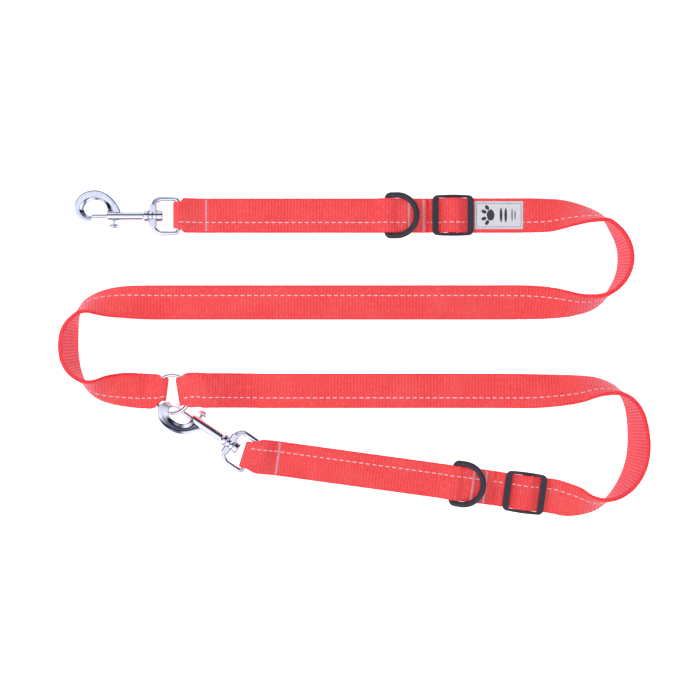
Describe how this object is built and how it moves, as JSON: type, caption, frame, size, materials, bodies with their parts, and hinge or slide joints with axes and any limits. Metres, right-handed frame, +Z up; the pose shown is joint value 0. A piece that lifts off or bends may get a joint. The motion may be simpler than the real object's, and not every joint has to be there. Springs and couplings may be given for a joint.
{
  "type": "training leash",
  "caption": "Adjustable training leash of flat webbing with a swivel bolt snap, D-ring and slider at each end, a sliding O-ring, reflective stitching and a blank label.",
  "frame": {"origin": "middle of the laid-out leash's bounding box, on the plane it rests on", "axes": "+Z up from the resting plane, +X along the straight runs from snap 1 towards its bend, +Y from the snap 2 end towards the snap 1 end"},
  "size_m": [0.4247, 0.2376, 0.0251],
  "materials": {
    "webbing": "ribbed polyester webbing",
    "label": "woven satin label",
    "thread": "reflective thread",
    "chrome": "polished plate",
    "spring_steel": "drawn wire",
    "dark_cast": "satin black coat"
  },
  "bodies": {
    "webbing": {"main_strap_1": "webbing", "main_strap_2": "webbing", "snap_strap_1": "webbing", "snap_strap_2": "webbing", "label": "label", "bar_tacks_1": "thread", "bar_tacks_2": "thread"},
    "ring": {"center_ring": "chrome"},
    "d_ring_body_1": {"d_ring_1": "dark_cast"},
    "d_ring_body_2": {"d_ring_2": "dark_cast"},
    "slider_body_1": {"slider_1": "dark_cast"},
    "slider_body_2": {"slider_2": "dark_cast"},
    "snap_eye_1": {"swivel_eye_1": "chrome"},
    "snap_body_1": {"hook_body_1": "chrome", "swivel_pin_1": "chrome", "gate_spring_1": "spring_steel"},
    "gate_1": {"gate_bolt_1": "chrome", "thumb_stud_1": "chrome"},
    "snap_eye_2": {"swivel_eye_2": "chrome"},
    "snap_body_2": {"hook_body_2": "chrome", "swivel_pin_2": "chrome", "gate_spring_2": "spring_steel"},
    "gate_2": {"gate_bolt_2": "chrome", "thumb_stud_2": "chrome"}
  },
  "joints": [
    {"name": "ring_spin", "type": "hinge", "parent": "webbing", "child": "ring", "pos_m": [-0.13187, -0.02964, 0.0103], "axis": [-0.2553, 0.0477, 0.9657], "continuous": true},
    {"name": "d_ring_tip_1", "type": "hinge", "parent": "webbing", "child": "d_ring_body_1", "pos_m": [0.0235, 0.1003, 0.0032], "axis": [0, -1, 0], "range_deg": [0, 156]},
    {"name": "slider_play_1", "type": "slide", "parent": "webbing", "child": "slider_body_1", "axis": [-1, 0, 0], "range_m": [0, 0.0006]},
    {"name": "eye_hinge_1", "type": "hinge", "parent": "webbing", "child": "snap_eye_1", "pos_m": [-0.12839, 0.09972, 0.005], "axis": [0, -1, 0], "range_deg": [-70, 70]},
    {"name": "swivel_1", "type": "hinge", "parent": "snap_eye_1", "child": "snap_body_1", "pos_m": [-0.14939, 0.09972, 0.005], "axis": [-1, 0, 0], "continuous": true},
    {"name": "gate_slide_1", "type": "slide", "parent": "snap_body_1", "child": "gate_1", "axis": [1, 0, 0], "range_m": [0, 0.007], "stiffness_N_per_m": 350, "springref_m": -0.003, "deforming": ["gate_spring_1"]},
    {"name": "d_ring_tip_2", "type": "hinge", "parent": "webbing", "child": "d_ring_body_2", "pos_m": [0.07183, -0.09432, 0.0032], "axis": [-0.1363, -0.9907, 0], "range_deg": [0, 156]},
    {"name": "slider_play_2", "type": "slide", "parent": "webbing", "child": "slider_body_2", "axis": [-0.9907, 0.1363, 0], "range_m": [0, 0.0006]},
    {"name": "eye_hinge_2", "type": "hinge", "parent": "webbing", "child": "snap_eye_2", "pos_m": [-0.07556, -0.07579, 0.00662], "axis": [0.5592, 0.829, 0], "range_deg": [-0.2, 0.2]},
    {"name": "swivel_2", "type": "hinge", "parent": "snap_eye_2", "child": "snap_body_2", "pos_m": [-0.09296, -0.06405, 0.00733], "axis": [-0.8286, 0.5589, 0.034], "range_deg": [-1.5, 1.5]},
    {"name": "gate_slide_2", "type": "slide", "parent": "snap_body_2", "child": "gate_2", "axis": [0.8286, -0.5589, -0.034], "range_m": [0, 0.007], "stiffness_N_per_m": 350, "springref_m": -0.003, "deforming": ["gate_spring_2"]}
  ]
}
